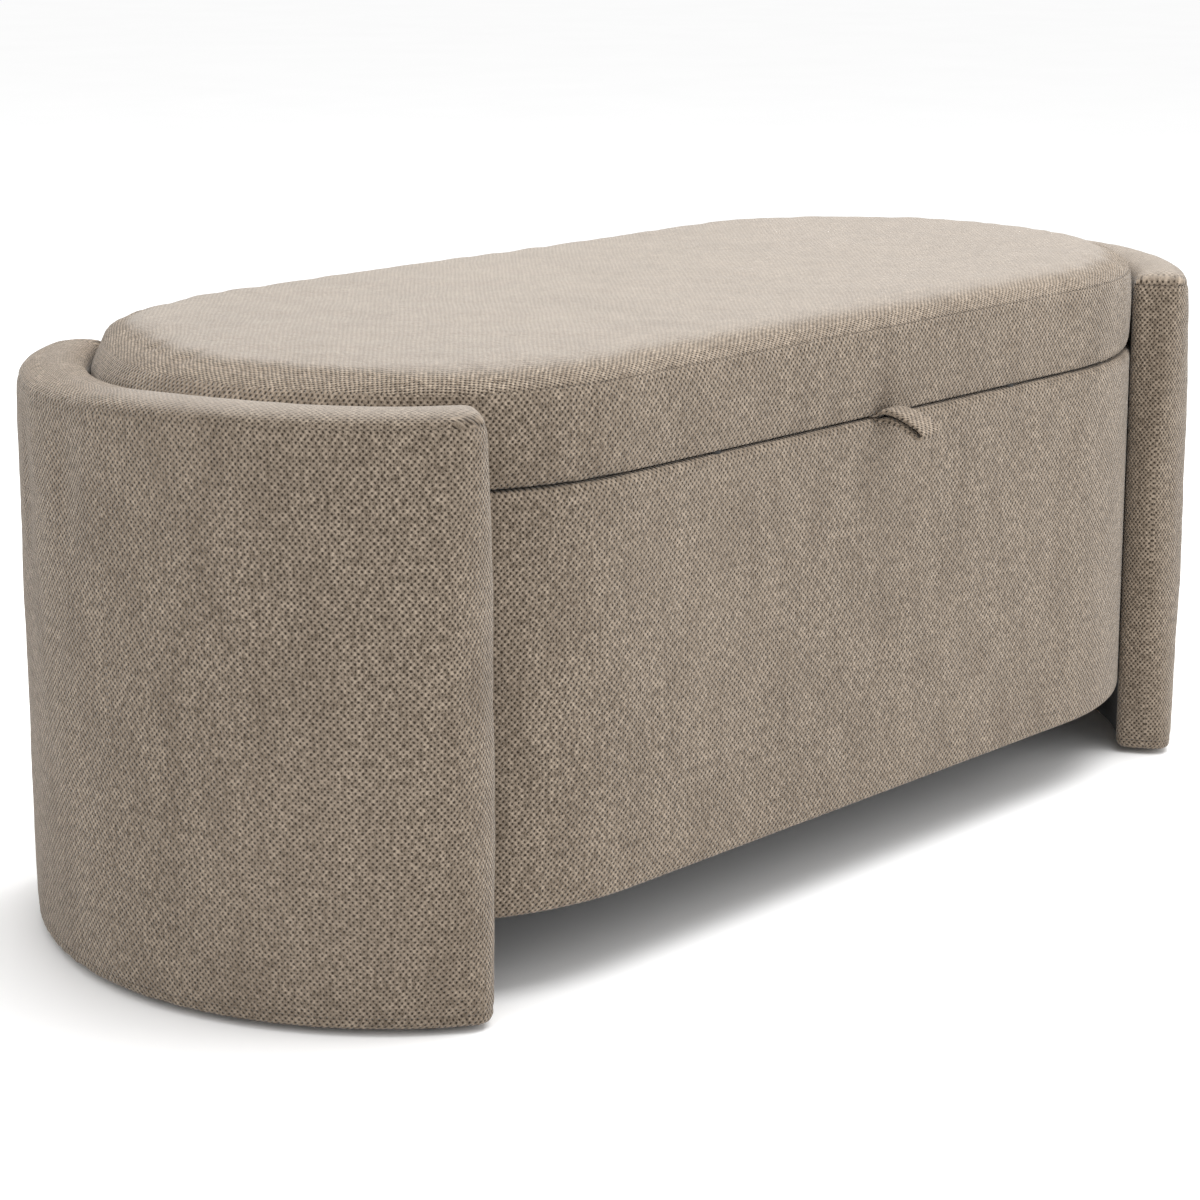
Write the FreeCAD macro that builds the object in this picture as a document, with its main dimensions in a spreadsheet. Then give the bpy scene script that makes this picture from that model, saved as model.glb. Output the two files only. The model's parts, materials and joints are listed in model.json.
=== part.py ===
import FreeCAD, Part
import math
import os
import Sketcher

# Storage bench, in millimetres. +Z is up, X runs along the bench and -Y is its front.
# The origin is on the floor, under the middle of the bench.
# In plan the box and lid are a straight run with a half circle at each end. A curved end panel
# wraps each half circle, reaches the floor and carries the box clear of it.

CELLS = {
    # plan
    "end_centre": 275.0,  # from the middle to the centre of each half circle
    "box_radius": 235.0,  # half the depth of the box and lid
    "panel_gap": 3.0,  # between the box and an end panel
    "panel_thick": 46.0,
    "panel_reach": 59.5,  # degrees that a panel covers on each side of the long axis
    # heights
    "box_bottom": 61.0,
    "box_top": 366.0,
    "lid_bottom": 369.0,
    "lid_top": 450.0,
    "panel_bottom": 4.0,
    "panel_top": 435.0,
    # soft layers
    "fabric": 1.5,
    "cloth": 1.2,
    "box_foam": 6.0,
    "panel_foam": 12.5,
    "panel_top_foam": 18.0,
    "lid_foam": 32.0,
    "lid_edge": 34.0,  # rounding of the lid's top edge
    "panel_edge": 18.0,  # rounding of a panel's top and its two ends
    # boards
    "wall": 12.0,
    "board": 15.0,
    "rim_width": 12.0,
    "rim_height": 20.0,
    "post_width": 50.0,
    "batten_reach": 21.0,  # degrees that a batten inside an end wall covers on each side
    "skin": 6.0,
    "rib": 18.0,
    "stud_reach": 2.0,  # degrees on each side of a stud's middle
    "frame_reach": 55.0,  # degrees that a panel's frame covers on each side
    "lid_frame": 20.0,
    "lid_board": 12.0,
    "hem": 40.0,  # how far the box cover turns in under the box
    "lining_top": 340.0,  # top of the black lining on a panel's inner face
    # panel bolts
    "bolt_turn": 15.0,  # degrees from the long axis
    "bolt_low": 130.0,
    "bolt_high": 290.0,
    "bolt_radius": 3.0,
    "bolt_length": 48.0,
    "bolt_head": 6.5,
    "bolt_head_thick": 4.0,
    "washer_radius": 9.0,
    "washer_thick": 1.5,
    "nut_flange": 9.0,
    "nut_flange_thick": 1.5,
    "nut_barrel": 4.0,
    "spacer_radius": 10.0,
    "fit": 0.05,  # radial play round a bolt, screw or pin
    # glides
    "glide_radius": 9.0,
    "glide_height": 5.5,
    # hinges
    "hinge_x": 170.0,
    "axis_y": 243.0,
    "axis_z": 410.0,
    "knuckle": 5.0,
    "pin_radius": 2.5,
    "hinge_half": 30.0,  # half the width of a bracket
    "strap_half": 15.5,  # half the width of the strap between the bracket's two arms
    "slot_half": 16.0,  # half the slot that the strap turns in
    "bracket_low": 290.0,
    "bracket_thick": 6.0,
    "arm_thick": 3.0,
    "strap_thick": 2.5,
    "strap_low": 375.0,
    "screw_radius": 2.0,
    "screw_head": 3.8,
    "screw_head_thick": 1.6,
    "screw_length": 16.0,
    # pull tab: a strip folded into a loop, with its two ends held under the lid
    "tab_x": 9.5,
    "tab_width": 25.0,
    "tab_length": 41.0,  # from the seam to the centre of the loop's round end
    "tab_end": 4.2,
    "tab_root": 1.3,  # half the loop's height at the seam
    "tab_cloth": 1.2,
    "tab_droop": 12.0,  # degrees
    "tab_inside": 16.0,  # how far the strip's ends reach under the lid
    # rubber pads that the lid comes down on
    "bumper_radius": 5.0,
    "bumper_thick": 2.8,
    "bumper_x": 180.0,
    "bumper_y": 226.0,
}

PANEL_SIDES = {"left": 180.0, "right": 0.0}  # degrees that each end is turned about its own centre
HINGE_SIDES = {"left": -1.0, "right": 1.0}

doc = FreeCAD.newDocument("StorageBench")
sheet = doc.addObject("Spreadsheet::Sheet", "Sizes")
for row, (alias, number) in enumerate(CELLS.items(), start=1):
    sheet.set(f"A{row}", alias)
    sheet.set(f"B{row}", str(number))
    sheet.setAlias(f"B{row}", alias)
doc.recompute()

nodes = []


class Size:
    """A length or angle: its formula in the sheet's cells, and what that comes to."""

    def __init__(self, formula, value):
        self.formula = formula
        self.value = value

    def __add__(self, other):
        other = as_size(other)
        return Size(f"({self.formula} + {other.formula})", self.value + other.value)

    def __sub__(self, other):
        other = as_size(other)
        return Size(f"({self.formula} - {other.formula})", self.value - other.value)

    def __mul__(self, factor):
        return Size(f"({self.formula} * {factor})", self.value * factor)

    def __neg__(self):
        return self * -1


def as_size(number):
    return number if isinstance(number, Size) else Size(repr(float(number)), float(number))


def cell(alias):
    return Size(f"Sizes.{alias}", CELLS[alias])


def bind(target, name, size):
    """Ties a property of an object to a formula."""
    target.setExpression(name, as_size(size).formula)


def node(thing, label):
    """Marks a finished object as a sub-part, which is written out under its label."""
    thing.Label = label
    nodes.append(thing)
    return thing


def new_body(name):
    return doc.addObject("PartDesign::Body", name + "_body")


def new_sketch(body, plane, height=0.0):
    """An empty sketch on one of the body's origin planes, moved along its normal."""
    sketch = body.newObject("Sketcher::SketchObject", "sketch")
    origin = next(f for f in body.Origin.OriginFeatures if f.Role == plane)
    sketch.AttachmentSupport = [(origin, "")]
    sketch.MapMode = "FlatFace"
    bind(sketch, ".AttachmentOffset.Base.z", height)
    return sketch


def constrain(sketch, size, kind, *places):
    """Adds a driving dimension that follows a formula."""
    index = sketch.addConstraint(Sketcher.Constraint(kind, *places, size.value))
    bind(sketch, f"Constraints[{index}]", size)


def draw_oval(sketch, radius):
    """The plan of the bench: two straight sides joined by two half circles."""
    centre = cell("end_centre")
    c, r = centre.value, radius.value
    up = FreeCAD.Vector(0, 0, 1)
    turn = math.pi / 2
    first = sketch.GeometryCount
    back, right, front, left = range(first, first + 4)
    sketch.addGeometry(Part.LineSegment(FreeCAD.Vector(-c, r, 0), FreeCAD.Vector(c, r, 0)))
    sketch.addGeometry(Part.ArcOfCircle(Part.Circle(FreeCAD.Vector(c, 0, 0), up, r), -turn, turn))
    sketch.addGeometry(Part.LineSegment(FreeCAD.Vector(c, -r, 0), FreeCAD.Vector(-c, -r, 0)))
    sketch.addGeometry(
        Part.ArcOfCircle(Part.Circle(FreeCAD.Vector(-c, 0, 0), up, r), turn, 3 * turn)
    )
    for place in ((back, 2, right, 2), (front, 1, right, 1), (back, 1, left, 1), (front, 2, left, 2)):
        sketch.addConstraint(Sketcher.Constraint("Tangent", *place))
    sketch.addConstraint(Sketcher.Constraint("Equal", right, left))
    sketch.addConstraint(Sketcher.Constraint("PointOnObject", right, 3, -1))
    sketch.addConstraint(Sketcher.Constraint("PointOnObject", left, 3, -1))
    constrain(sketch, centre, "DistanceX", -1, 1, right, 3)
    constrain(sketch, centre, "DistanceX", left, 3, -1, 1)
    constrain(sketch, radius, "Radius", right)


def draw_outline(sketch, corners):
    """A closed outline of straight edges, each corner placed from the sketch's origin."""
    first = sketch.GeometryCount
    count = len(corners)
    points = [FreeCAD.Vector(x.value, y.value, 0) for x, y in corners]
    for i in range(count):
        sketch.addGeometry(Part.LineSegment(points[i], points[(i + 1) % count]))
    for i in range(count):
        sketch.addConstraint(
            Sketcher.Constraint("Coincident", first + i, 2, first + (i + 1) % count, 1)
        )
    for i, (x, y) in enumerate(corners):
        constrain(sketch, x, "DistanceX", -1, 1, first + i, 1)
        constrain(sketch, y, "DistanceY", -1, 1, first + i, 1)


def draw_circle(sketch, x, y, radius):
    centre = FreeCAD.Vector(x.value, y.value, 0)
    ring = sketch.addGeometry(Part.Circle(centre, FreeCAD.Vector(0, 0, 1), radius.value))
    constrain(sketch, x, "DistanceX", -1, 1, ring, 3)
    constrain(sketch, y, "DistanceY", -1, 1, ring, 3)
    constrain(sketch, radius, "Radius", ring)


def box_corners(left, right, low, high):
    return [(left, low), (right, low), (right, high), (left, high)]


def pad(body, sketch, length, both_ways=False):
    feature = body.newObject("PartDesign::Pad", "pad")
    feature.Profile = sketch
    bind(feature, "Length", length)
    feature.Midplane = both_ways
    return feature


def oval_pad(body, outer, inner, low, high):
    """A slice of the plan from one height to another: a plate, or a ring when inner is given."""
    sketch = new_sketch(body, "XY_Plane", low)
    draw_oval(sketch, outer)
    if inner is not None:
        draw_oval(sketch, inner)
    return pad(body, sketch, high - low)


def oval_node(label, outer, inner, low, high):
    body = new_body(label)
    oval_pad(body, outer, inner, low, high)
    return body


def turn_section(body, kind, corners, reach):
    """Turns a section about the body's upright axis, to both sides of the XZ plane."""
    sketch = new_sketch(body, "XZ_Plane")
    draw_outline(sketch, corners)
    feature = body.newObject(kind, "turned")
    feature.Profile = sketch
    feature.ReferenceAxis = (sketch, ["V_Axis"])
    feature.Midplane = True
    bind(feature, "Angle", reach * 2)
    return feature


def stand_at_end(body, side):
    """Moves a piece made about the upright axis to the centre of one end's half circle."""
    body.Placement.Rotation = FreeCAD.Rotation(FreeCAD.Vector(0, 0, 1), PANEL_SIDES[side])
    sign = math.cos(math.radians(PANEL_SIDES[side]))
    bind(body, ".Placement.Base.x", cell("end_centre") * sign)


def arc_node(label, side, inner, outer, low, high, reach):
    body = new_body(label)
    turn_section(body, "PartDesign::Revolution", box_corners(inner, outer, low, high), reach)
    stand_at_end(body, side)
    return body


def rounded_arc(name, side, inner, outer, low, high, reach, edge):
    """An end panel's outer form: an arc in plan with rounded top and upright edges."""
    arc = arc_node(name, side, inner, outer, low, high, reach)
    return round_edges(name + "_rounded", arc, edge, is_panel_edge)


def box_solid(name, x, y, z, length, width, height):
    """An upright box from its lowest corner."""
    solid = doc.addObject("Part::Box", name)
    for field, size in (("Length", length), ("Width", width), ("Height", height)):
        bind(solid, field, size)
    for axis, size in zip("xyz", (x, y, z)):
        bind(solid, f".Placement.Base.{axis}", size)
    return solid


def rod(name, radius, length, direction, x, y, z):
    """A cylinder that starts at a point and runs along a direction."""
    solid = doc.addObject("Part::Cylinder", name)
    bind(solid, "Radius", radius)
    bind(solid, "Height", length)
    solid.Placement.Rotation = FreeCAD.Rotation(FreeCAD.Vector(0, 0, 1), direction)
    for axis, size in zip("xyz", (x, y, z)):
        bind(solid, f".Placement.Base.{axis}", size)
    return solid


def group(name, solids):
    """Several separate solids kept as one object."""
    bunch = doc.addObject("Part::Compound", name)
    bunch.Links = solids
    return bunch


def fuse(name, solids):
    joined = doc.addObject("Part::MultiFuse", name)
    joined.Shapes = solids
    return joined


def cut(name, base, tool):
    result = doc.addObject("Part::Cut", name)
    result.Base = base
    result.Tool = tool
    return result


def round_edges(name, base, radius, wanted):
    """Rounds the edges of a finished shape that the test picks."""
    doc.recompute()
    chosen = [i for i, edge in enumerate(base.Shape.Edges, start=1) if wanted(edge)]
    rounded = doc.addObject("Part::Fillet", name)
    rounded.Base = base
    rounded.Edges = [(i, radius.value, radius.value) for i in chosen]
    return rounded


# Plan radii, from the outside in.
box_face = cell("box_radius")
foam_face = box_face - cell("fabric")
wall_face = foam_face - cell("box_foam")
wall_back = wall_face - cell("wall")
rim_back = wall_back - cell("rim_width")
lining_back = rim_back - cell("cloth")

# Heights inside the box.
box_low = cell("box_bottom") + cell("fabric")
box_high = cell("box_top") - cell("fabric")
floor_low = box_low + cell("board")
rim_low = box_high - cell("rim_height")

# Radii and heights inside an end panel, about the centre of its half circle.
panel_in = box_face + cell("panel_gap")
panel_out = panel_in + cell("panel_thick")
frame_in = panel_in + cell("fabric")
foam_out = panel_out - cell("fabric")
frame_out = foam_out - cell("panel_foam")
rib_in = frame_in + cell("skin")
rib_out = frame_out - cell("skin")
panel_base = cell("glide_height")
panel_foam_top = cell("panel_top") - cell("fabric")
frame_top = panel_foam_top - cell("panel_top_foam")
panel_foam_reach = cell("panel_reach") - 0.33

# Radii of what a panel bolt passes, about the same centre. Flat faces keep just clear of curved ones.
washer_start = lining_back - 0.3 - cell("washer_thick")
head_start = washer_start - cell("bolt_head_thick")
spacer_start = box_face + 0.1
spacer_end = panel_in - cell("cloth") - 0.3
nut_start = frame_in + 0.2
nut_flange_start = rib_in + 0.1
nut_end = nut_flange_start + cell("nut_flange_thick")


def bolt_rods(name, radius, start, end):
    """One rod for each panel bolt, between two distances from the centre of its half circle."""
    rods = []
    for angle in PANEL_SIDES.values():
        sign = math.cos(math.radians(angle))
        for turn in (-CELLS["bolt_turn"], CELLS["bolt_turn"]):
            c = math.cos(math.radians(angle + turn))
            s = math.sin(math.radians(angle + turn))
            for height in ("bolt_low", "bolt_high"):
                x = cell("end_centre") * sign + start * c
                out = FreeCAD.Vector(c, s, 0)
                rods.append(rod(name, radius, end - start, out, x, start * s, cell(height)))
    return rods


bore_radius = cell("bolt_radius") + cell("fit")
bolt_bores = group("bolt_bores", bolt_rods("bore", bore_radius, head_start - 5.0, nut_end + 5.0))
nut_bores = group(
    "nut_bores",
    bolt_rods("nut_bore", cell("nut_barrel") + cell("fit"), frame_in - 3.0, rib_in + 3.0),
)


def screw_places(rows, spread):
    """Where the hinge screws go: each row's height, on both sides of both hinges."""
    for sign in HINGE_SIDES.values():
        for z in rows:
            for offset in (-spread, spread):
                yield cell("hinge_x") * sign + offset, z


BRACKET_SCREW_ROWS = [cell("bracket_low") + 12.0, cell("bracket_low") + 44.0]
BRACKET_SCREW_SPREAD = 20.0
STRAP_SCREW_ROWS = [cell("strap_low") + 8.0, cell("strap_low") + 20.0]
STRAP_SCREW_SPREAD = 8.0


def screw_rods(name, places, radius, y, length):
    into = FreeCAD.Vector(0, -1, 0)
    return [rod(name, radius, length, into, x, y, z) for x, z in places]


bracket_face = box_face + cell("bracket_thick")
strap_face = box_face + cell("strap_thick")
bracket_holes = group(
    "bracket_holes",
    screw_rods(
        "bore",
        screw_places(BRACKET_SCREW_ROWS, BRACKET_SCREW_SPREAD),
        cell("screw_radius") + cell("fit"),
        bracket_face + 1.0,
        cell("screw_length") + cell("bracket_thick") + 3.0,
    ),
)
strap_holes = group(
    "strap_holes",
    screw_rods(
        "bore",
        screw_places(STRAP_SCREW_ROWS, STRAP_SCREW_SPREAD),
        cell("screw_radius") + cell("fit"),
        strap_face + 1.0,
        cell("screw_length") + cell("strap_thick") + 3.0,
    ),
)


def build_box():
    """The fixed box: board, walls, posts and rim, then foam, fabric and linings."""
    centre = cell("end_centre")
    node(oval_node("bottom_board", wall_back, None, box_low, floor_low), "bottom_board")
    for label, y in (("front_wall", -wall_face), ("rear_wall", wall_back)):
        plank = box_solid(
            label + "_plank", -centre, y, box_low, centre * 2, cell("wall"), box_high - box_low
        )
        node(cut(label, plank, bracket_holes) if label == "rear_wall" else plank, label)
    for side in PANEL_SIDES:
        label = f"{side}_end_wall"
        bent = arc_node(label, side, wall_back, wall_face, box_low, box_high, as_size(90))
        node(cut(label, bent, bolt_bores), label)
    for name, y in (("front", -wall_back), ("rear", rim_back)):
        for side, sign in HINGE_SIDES.items():
            label = f"{name}_{side}_post"
            x = centre * sign - cell("post_width") * (0.5 + 0.5 * sign)
            post = box_solid(
                label, x, y, floor_low, cell("post_width"), cell("rim_width"), rim_low - floor_low
            )
            node(post, label)
    for side in PANEL_SIDES:
        label = f"{side}_end_batten"
        batten = arc_node(label, side, rim_back, wall_back, floor_low, rim_low, cell("batten_reach"))
        node(cut(label, batten, bolt_bores), label)
    node(oval_node("top_rim", wall_back, rim_back, rim_low, box_high), "top_rim")

    foam = oval_node("box_foam", foam_face, wall_face, box_low, box_high)
    foam = cut("box_foam_bored", cut("box_foam_screwed", foam, bracket_holes), bolt_bores)
    node(foam, "box_foam")

    cover = new_body("box_cover")
    oval_pad(cover, box_face, foam_face, cell("box_bottom"), cell("box_top"))
    oval_pad(cover, box_face, lining_back, box_high, cell("box_top"))
    oval_pad(cover, box_face, box_face - cell("hem"), cell("box_bottom"), box_low)
    cover = cut("box_cover_bored", cut("box_cover_screwed", cover, bracket_holes), bolt_bores)
    node(cover, "box_cover")

    lining = new_body("interior_lining")
    oval_pad(lining, rim_back, lining_back, floor_low, box_high)
    oval_pad(lining, rim_back, None, floor_low, floor_low + cell("cloth"))
    node(cut("interior_lining_bored", lining, bolt_bores), "interior_lining")

    under = box_face - cell("hem") * 0.5
    low = cell("box_bottom") - cell("cloth")
    node(oval_node("dust_cover", under, None, low, cell("box_bottom")), "dust_cover")

    up = FreeCAD.Vector(0, 0, 1)
    pads = [
        rod(
            "pad", cell("bumper_radius"), cell("bumper_thick"), up,
            cell("bumper_x") * x, cell("bumper_y") * y, cell("box_top"),
        )
        for x in (-1, 1)
        for y in (-1, 1)
    ]
    node(group("lid_bumpers_group", pads), "lid_bumpers")


def build_panel(side):
    """One curved end panel: a bent plywood frame with foam, fabric and a black inner lining."""
    reach = cell("panel_reach")
    frame_reach = cell("frame_reach")
    skin = arc_node(f"{side}_inner_skin", side, frame_in, rib_in, panel_base, frame_top, frame_reach)
    node(cut(f"{side}_inner_skin_bored", skin, nut_bores), f"{side}_panel_inner_skin")
    skin = arc_node(f"{side}_outer_skin", side, rib_out, frame_out, panel_base, frame_top, frame_reach)
    node(skin, f"{side}_panel_outer_skin")
    for name, low in (("bottom", panel_base), ("top", frame_top - cell("rib"))):
        label = f"{side}_panel_{name}_rib"
        rib = arc_node(label, side, rib_in, rib_out, low, low + cell("rib"), frame_reach)
        node(rib, label)
    stud_turn = CELLS["frame_reach"] - CELLS["stud_reach"]
    for name, turn in (("front", stud_turn), ("middle", 0.0), ("rear", -stud_turn)):
        label = f"{side}_panel_{name}_stud"
        low = panel_base + cell("rib")
        high = frame_top - cell("rib")
        stud = arc_node(label, side, rib_in, rib_out, low, high, cell("stud_reach"))
        mirrored = turn if side == "left" else -turn
        angle = PANEL_SIDES[side] + mirrored
        stud.Placement.Rotation = FreeCAD.Rotation(FreeCAD.Vector(0, 0, 1), angle)
        node(stud, label)

    low = cell("panel_bottom")
    edge = cell("panel_edge")
    inner_edge = edge - cell("fabric")
    shell = rounded_arc(
        f"{side}_panel_shell", side, panel_in, panel_out, low, cell("panel_top"), reach, edge
    )
    hollow = rounded_arc(
        f"{side}_panel_hollow", side, frame_in, foam_out, low - 5.0, panel_foam_top,
        panel_foam_reach, inner_edge,
    )
    cover = cut(f"{side}_panel_cover_open", shell, hollow)
    node(cut(f"{side}_panel_cover_bored", cover, bolt_bores), f"{side}_panel_cover")

    padding = rounded_arc(
        f"{side}_panel_padding", side, frame_in, foam_out, panel_base, panel_foam_top,
        panel_foam_reach, inner_edge,
    )
    frame_space = arc_node(
        f"{side}_frame_space", side, frame_in - 5.0, frame_out, panel_base - 5.0, frame_top,
        frame_reach,
    )
    node(cut(f"{side}_panel_foam", padding, frame_space), f"{side}_panel_foam")

    low = cell("panel_bottom") + 4.0
    lining = arc_node(
        f"{side}_panel_lining", side, panel_in - cell("cloth"), panel_in, low, cell("lining_top"),
        frame_reach,
    )
    node(cut(f"{side}_panel_lining_bored", lining, bolt_bores), f"{side}_panel_lining")

    glides = []
    middle = (panel_in.value + panel_out.value) / 2
    for turn in (-50.0, 0.0, 50.0):
        angle = math.radians(PANEL_SIDES[side] + turn)
        sign = math.cos(math.radians(PANEL_SIDES[side]))
        x = cell("end_centre") * sign + middle * math.cos(angle)
        y = as_size(middle * math.sin(angle))
        up = FreeCAD.Vector(0, 0, 1)
        glides.append(
            rod("glide", cell("glide_radius"), cell("glide_height"), up, x, y, as_size(0))
        )
    node(group(f"{side}_glides_group", glides), f"{side}_glides")


def is_panel_edge(edge):
    """The top edges of a panel and the upright edges of its two ends, but not its bottom."""
    box = edge.BoundBox
    at_top = box.ZMin > CELLS["panel_top"] - 10
    upright = box.ZLength > 100 and box.XLength < 1 and box.YLength < 1
    return at_top or upright


def build_fasteners():
    """The bolts that hold the panels to the box's end walls, and what goes on them."""
    shanks = bolt_rods("shank", cell("bolt_radius"), washer_start, washer_start + cell("bolt_length"))
    heads = bolt_rods("head", cell("bolt_head"), head_start, washer_start)
    bolts = [fuse("bolt", list(pair)) for pair in zip(shanks, heads)]
    node(group("panel_bolts_group", bolts), "panel_bolts")

    washers = bolt_rods(
        "washer", cell("washer_radius"), washer_start, washer_start + cell("washer_thick")
    )
    node(cut("washers_bored", group("washer_discs", washers), bolt_bores), "panel_washers")

    spacers = bolt_rods("spacer", cell("spacer_radius"), spacer_start, spacer_end)
    node(cut("spacers_bored", group("spacer_discs", spacers), bolt_bores), "panel_spacers")

    barrels = bolt_rods("barrel", cell("nut_barrel"), nut_start, nut_end)
    flanges = bolt_rods("flange", cell("nut_flange"), nut_flange_start, nut_end)
    nuts = [fuse("nut", list(pair)) for pair in zip(barrels, flanges)]
    node(cut("nuts_bored", group("nut_blanks", nuts), bolt_bores), "panel_nuts")


def build_lid():
    """The hinged lid: frame, board and foam under a fabric cover, with a flat cloth underneath."""
    low = cell("lid_bottom") + cell("fabric")
    foam_high = cell("lid_top") - cell("fabric")
    board_high = foam_high - cell("lid_foam")
    frame_high = board_high - cell("lid_board")
    frame_back = wall_face - cell("lid_frame")
    frame = oval_node("lid_frame", wall_face, frame_back, low, frame_high)
    node(cut("lid_frame_screwed", frame, strap_holes), "lid_frame")
    node(oval_node("lid_board", wall_face, None, frame_high, board_high), "lid_board")

    inner_edge = cell("lid_edge") - cell("fabric")
    slab = oval_node("lid_foam_slab", foam_face, None, low, foam_high)
    slab = round_edges("lid_foam_rounded", slab, inner_edge, is_lid_edge)
    hollow = oval_node("lid_foam_hollow", wall_face, None, low - 5.0, board_high)
    foam = cut("lid_foam_cap", slab, hollow)
    node(cut("lid_foam_screwed", foam, strap_holes), "lid_foam")

    shell = oval_node("lid_shell", box_face, None, cell("lid_bottom"), cell("lid_top"))
    shell = round_edges("lid_shell_rounded", shell, cell("lid_edge"), is_lid_edge)
    hollow = oval_node("lid_hollow", foam_face, None, low, foam_high)
    hollow = round_edges("lid_hollow_rounded", hollow, inner_edge, is_lid_edge)
    cover = cut("lid_cover_hollow", shell, hollow)
    mouth = oval_node("lid_mouth", frame_back + 5.0, None, cell("lid_bottom") - 5.0, low + 1.0)
    cover = cut("lid_cover_open", cover, mouth)
    node(cut("lid_cover_screwed", cover, strap_holes), "lid_cover")

    lining_edge = wall_face - cell("lid_frame") * 0.5
    under = cell("lid_bottom") - cell("cloth")
    node(oval_node("lid_lining", lining_edge, None, under, cell("lid_bottom")), "lid_lining")


def is_lid_edge(edge):
    return edge.BoundBox.ZMin > CELLS["lid_top"] - 5


def build_tab():
    """The pull tab in the seam: its ends under the lid, and the loop that hangs out."""
    left = cell("tab_x") - cell("tab_width") * 0.5
    gap = cell("lid_bottom") - cell("box_top")
    root = box_solid(
        "tab_root_strip", left, -box_face + 0.5, cell("box_top") + gap * 0.2,
        cell("tab_width"), cell("tab_inside"), gap * 0.6,
    )
    node(root, "pull_tab_root")

    loop = new_body("pull_tab")
    long, end, half = cell("tab_length"), cell("tab_end"), cell("tab_root")
    zero = as_size(0.0)
    sketch = new_sketch(loop, "YZ_Plane")
    draw_outline(sketch, [(zero, -half), (zero, half), (-long, end), (-long, -end)])
    pad(loop, sketch, cell("tab_width"), both_ways=True)
    sketch = new_sketch(loop, "YZ_Plane")
    draw_circle(sketch, -long, zero, end)
    pad(loop, sketch, cell("tab_width"), both_ways=True)

    opening = new_body("tab_opening")
    inner_end = end - cell("tab_cloth")
    inner_half = as_size(0.3)
    start = as_size(-4.0)
    sketch = new_sketch(opening, "YZ_Plane")
    draw_outline(
        sketch,
        [(start, -inner_half), (start, inner_half), (-long, inner_end), (-long, -inner_end)],
    )
    pad(opening, sketch, cell("tab_width") + 2.0, both_ways=True)
    sketch = new_sketch(opening, "YZ_Plane")
    draw_circle(sketch, -long, zero, inner_end)
    pad(opening, sketch, cell("tab_width") + 2.0, both_ways=True)

    folded = cut("tab_folded", loop, opening)
    folded.Placement.Rotation = FreeCAD.Rotation(FreeCAD.Vector(1, 0, 0), CELLS["tab_droop"])
    bind(folded, ".Placement.Base.x", cell("tab_x"))
    bind(folded, ".Placement.Base.y", -box_face - 0.4)
    bind(folded, ".Placement.Base.z", cell("box_top") + gap * 0.5)
    node(folded, "pull_tab")


def build_hinge(side):
    """One rear hinge: a forked bracket on the box, a strap on the lid and a pin through both."""
    middle = cell("hinge_x") * HINGE_SIDES[side]
    half = cell("hinge_half")
    along = FreeCAD.Vector(1, 0, 0)
    arm_in = bracket_face - cell("arm_thick")
    slot = cell("slot_half")
    base = box_solid(
        "bracket_base", middle - half, box_face, cell("bracket_low"),
        half * 2, cell("bracket_thick"), cell("box_top") - cell("bracket_low"),
    )
    arm_width = half - slot
    pieces = [base]
    for x in (middle - half, middle + slot):
        arm_height = cell("axis_z") - cell("box_top")
        pieces.append(
            box_solid("arm", x, arm_in, cell("box_top"), arm_width, cell("arm_thick"), arm_height)
        )
        pieces.append(
            rod("knuckle", cell("knuckle"), arm_width, along, x, cell("axis_y"), cell("axis_z"))
        )
    bore = rod(
        "pin_bore", cell("pin_radius") + cell("fit"), half * 2, along,
        middle - half, cell("axis_y"), cell("axis_z"),
    )
    bracket = cut("bracket_bored", fuse("bracket_blank", pieces), bore)
    node(cut("bracket_drilled", bracket, bracket_holes), f"{side}_hinge_bracket")

    pin = rod(
        "pin", cell("pin_radius"), half * 2, along, middle - half, cell("axis_y"), cell("axis_z")
    )
    node(pin, f"{side}_hinge_pin")

    strap_half = cell("strap_half")
    plate = box_solid(
        "strap_plate", middle - strap_half, box_face, cell("strap_low"),
        strap_half * 2, cell("strap_thick"), cell("axis_z") - cell("strap_low"),
    )
    link = box_solid(
        "strap_link", middle - strap_half, box_face, cell("axis_z") - cell("knuckle"),
        strap_half * 2, cell("axis_y") - box_face, cell("strap_thick"),
    )
    knuckle = rod(
        "strap_knuckle", cell("knuckle"), strap_half * 2, along,
        middle - strap_half, cell("axis_y"), cell("axis_z"),
    )
    strap = cut("strap_bored", fuse("strap_blank", [plate, link, knuckle]), bore)
    node(cut("strap_drilled", strap, strap_holes), f"{side}_hinge_strap")


def build_screws(label, rows, spread, face, thick):
    """One kind of hinge screw: a shank into the wood and a flat head on the plate."""
    shanks = screw_rods(
        "shank", screw_places(rows, spread), cell("screw_radius"), face,
        cell("screw_length") + thick,
    )
    heads = screw_rods(
        "head", screw_places(rows, spread), cell("screw_head"),
        face + cell("screw_head_thick"), cell("screw_head_thick"),
    )
    screws = [fuse("screw", list(pair)) for pair in zip(shanks, heads)]
    node(group(label + "_group", screws), label)


build_box()
for end in PANEL_SIDES:
    build_panel(end)
build_fasteners()
build_lid()
build_tab()
for end in HINGE_SIDES:
    build_hinge(end)
build_screws(
    "bracket_screws", BRACKET_SCREW_ROWS, BRACKET_SCREW_SPREAD, bracket_face, cell("bracket_thick")
)
build_screws("strap_screws", STRAP_SCREW_ROWS, STRAP_SCREW_SPREAD, strap_face, cell("strap_thick"))
doc.recompute()

for thing in doc.Objects:
    for trouble in ("Invalid", "Error"):
        if trouble in thing.State:
            raise RuntimeError(f"{thing.Label}: {trouble}")
for thing in nodes:
    if thing.Shape.isNull() or not thing.Shape.isValid():
        raise RuntimeError(f"{thing.Label}: no valid shape")

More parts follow.
